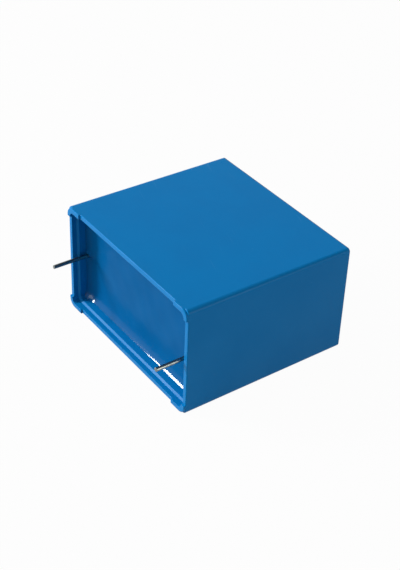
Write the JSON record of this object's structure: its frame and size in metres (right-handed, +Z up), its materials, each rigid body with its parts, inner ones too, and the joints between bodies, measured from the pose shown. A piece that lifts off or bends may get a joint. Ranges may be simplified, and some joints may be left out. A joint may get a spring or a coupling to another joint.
{
  "type": "box film capacitor",
  "caption": "Rectangular moulded film capacitor with a resin-filled open side, corner feet and two straight round leads.",
  "frame": {"origin": "midway between the two leads, in the plane of the four feet that stand on the board", "axes": "+X from the left lead to the right one, +Y from the board side to the closed end, +Z up through the thickness, with the box lying on a large face"},
  "size_m": [0.0414, 0.0428, 0.0238],
  "materials": {
    "case_plastic": "moulded blue thermoplastic with a soft gloss",
    "potting_resin": "cast blue epoxy with a high gloss",
    "metallised_film": "wound plastic film with a thin bright metal layer",
    "sprayed_metal": "rough grey sprayed zinc",
    "tinned_wire": "tinned copper wire with a dull shine",
    "solder": "bright solder"
  },
  "bodies": {
    "root": {"case": "case_plastic", "potting_resin": "potting_resin", "film_winding": "metallised_film", "end_spray_left": "sprayed_metal", "end_spray_right": "sprayed_metal", "lead_left": "tinned_wire", "lead_right": "tinned_wire", "solder_left_near": "solder", "solder_left_far": "solder", "solder_right_near": "solder", "solder_right_far": "solder"}
  },
  "joints": []
}
